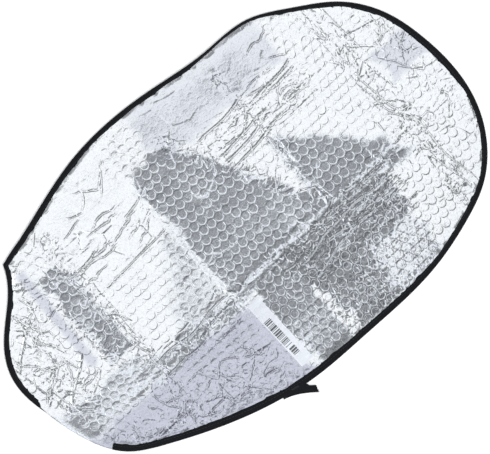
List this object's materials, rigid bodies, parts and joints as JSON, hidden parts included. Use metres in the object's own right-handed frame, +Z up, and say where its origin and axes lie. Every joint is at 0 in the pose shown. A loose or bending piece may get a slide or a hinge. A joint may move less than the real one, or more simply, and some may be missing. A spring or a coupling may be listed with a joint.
{
  "type": "folding reflector pad",
  "caption": "Flat oblong reflector pad of metallised bubble film with a black fabric edge tape, folding on set creases across its length.",
  "frame": {"origin": "middle of the whole footprint, tape end included, on the plane it rests on", "axes": "+X along the length towards the rounded end, +Y across towards the edge with the sharp shoulder, +Z up through the face film"},
  "size_m": [0.6094, 0.3868, 0.0042],
  "materials": {
    "metallised_film": "bright crinkled metallised film",
    "cell_film": "clear blown film",
    "edge_tape": "woven tape, matt",
    "thread": "spun sewing thread",
    "label": "printed film label"
  },
  "bodies": {
    "left_end_panel": {"left_end_face_film": "metallised_film", "left_end_bubble_film": "cell_film", "left_end_back_film": "metallised_film", "left_end_edge_tape": "edge_tape", "left_end_seam_thread": "thread"},
    "left_inner_panel": {"left_inner_face_film": "metallised_film", "left_inner_bubble_film": "cell_film", "left_inner_back_film": "metallised_film", "left_inner_edge_tape": "edge_tape", "left_inner_seam_thread": "thread", "tail_tack": "thread"},
    "centre_panel": {"centre_face_film": "metallised_film", "centre_bubble_film": "cell_film", "centre_back_film": "metallised_film", "centre_edge_tape": "edge_tape", "centre_seam_thread": "thread", "printed_label": "label"},
    "right_inner_panel": {"right_inner_face_film": "metallised_film", "right_inner_bubble_film": "cell_film", "right_inner_back_film": "metallised_film", "right_inner_edge_tape": "edge_tape", "right_inner_seam_thread": "thread"},
    "right_end_panel": {"right_end_face_film": "metallised_film", "right_end_bubble_film": "cell_film", "right_end_back_film": "metallised_film", "right_end_edge_tape": "edge_tape", "right_end_seam_thread": "thread"},
    "tape_end": {"tape_tail": "edge_tape"}
  },
  "joints": [
    {"name": "left_inner_fold", "type": "hinge", "parent": "centre_panel", "child": "left_inner_panel", "pos_m": [-0.057, 0, 0.00732], "axis": [0, 1, 0], "range_deg": [0, 180]},
    {"name": "left_end_fold", "type": "hinge", "parent": "left_inner_panel", "child": "left_end_panel", "pos_m": [-0.168, 0, -0.001], "axis": [0, -1, 0], "range_deg": [0, 180]},
    {"name": "right_inner_fold", "type": "hinge", "parent": "centre_panel", "child": "right_inner_panel", "pos_m": [0.098, 0, -0.0032], "axis": [0, 1, 0], "range_deg": [0, 180]},
    {"name": "right_end_fold", "type": "hinge", "parent": "right_inner_panel", "child": "right_end_panel", "pos_m": [0.228, 0, 0.00512], "axis": [0, -1, 0], "range_deg": [0, 180]},
    {"name": "tape_end_bend", "type": "hinge", "parent": "left_inner_panel", "child": "tape_end", "pos_m": [-0.07024, -0.17555, 0.0008], "axis": [0.9854, -0.1703, 0], "range_deg": [-60, 60]}
  ]
}
